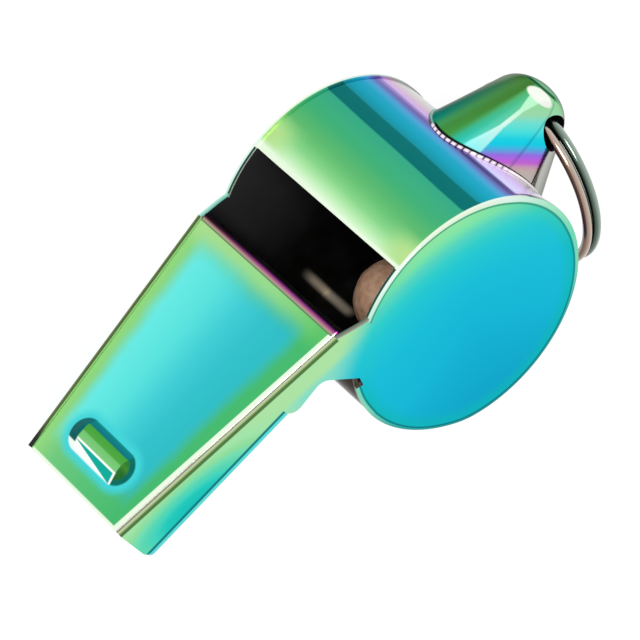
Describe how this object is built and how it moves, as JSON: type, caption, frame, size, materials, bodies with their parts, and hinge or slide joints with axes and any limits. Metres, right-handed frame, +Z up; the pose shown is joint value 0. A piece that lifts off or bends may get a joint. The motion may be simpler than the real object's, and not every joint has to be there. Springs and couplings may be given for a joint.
{
  "type": "signal whistle",
  "caption": "Pressed-metal pea whistle: round drum with an open window, tapered mouthpiece with a bite stop, loose cork ball inside and a split ring through a hollow lug.",
  "frame": {"origin": "on the drum's axis, on the outer face of the left side plate, which the whistle lies on", "axes": "+X toward the mouth, -Y toward the window, +Z up along the drum's axis to the right side plate"},
  "size_m": [0.0491, 0.0247, 0.0192],
  "materials": {
    "plate_finish": "polished steel with a rainbow oxide film, cyan to green",
    "wrap_finish": "polished steel with a rainbow oxide film, green to violet",
    "ring_steel": "bright nickelled spring steel",
    "cork": "bare turned cork"
  },
  "bodies": {
    "whistle": {"right_side_plate": "plate_finish", "left_side_plate": "plate_finish", "barrel_wrap": "wrap_finish", "mouthpiece_floor": "plate_finish", "mouthpiece_top": "plate_finish", "lanyard_lug": "wrap_finish"},
    "ring": {"split_ring": "ring_steel"},
    "pea": {"cork_pea": "cork"}
  },
  "joints": [
    {"name": "ring_swing", "type": "hinge", "parent": "whistle", "child": "ring", "pos_m": [-0.0155, 0, 0.0097], "axis": [0, 0, 1], "range_deg": [-11, 245]},
    {"name": "pea_orbit", "type": "hinge", "parent": "whistle", "child": "pea", "pos_m": [0, 0, 0.0084], "axis": [0, 0, 1], "continuous": true}
  ]
}
